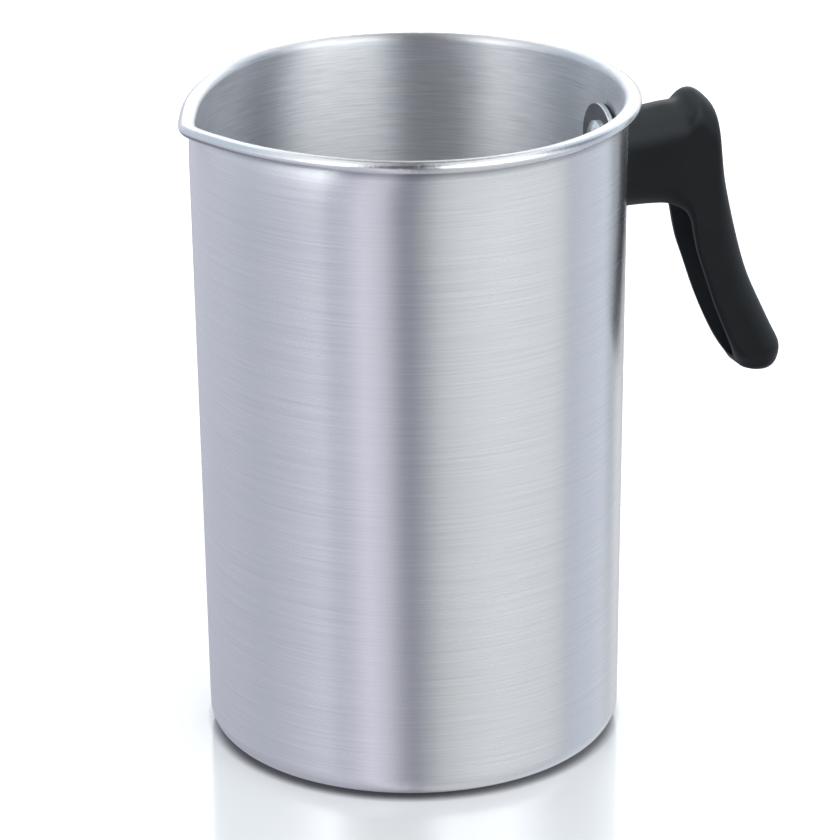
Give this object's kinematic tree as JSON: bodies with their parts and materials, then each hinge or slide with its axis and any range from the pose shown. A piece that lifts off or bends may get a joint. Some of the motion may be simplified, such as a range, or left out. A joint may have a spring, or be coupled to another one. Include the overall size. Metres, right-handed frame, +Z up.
{
  "type": "candle melting pot",
  "caption": "Tall straight-sided metal pouring pot with a rolled rim, a pinched spout and a single screwed-on plastic handle opposite it.",
  "frame": {"origin": "centre of the plane the pot stands on", "axes": "+Z up the axis of the pot, +X towards the handle, so the spout points along -X"},
  "size_m": [0.1815, 0.131, 0.1887],
  "materials": {
    "pot_sheet": "fine brushing round the wall",
    "handle_moulding": "satin moulded black",
    "washer_steel": "polished",
    "seal_rubber": "matte",
    "screw_steel": "plated",
    "insert_brass": "machined"
  },
  "bodies": {
    "root": {"pot_body": "pot_sheet", "handle": "handle_moulding", "cup_washer": "washer_steel", "seal_washer": "seal_rubber", "handle_screw": "screw_steel", "threaded_insert": "insert_brass"}
  },
  "joints": []
}
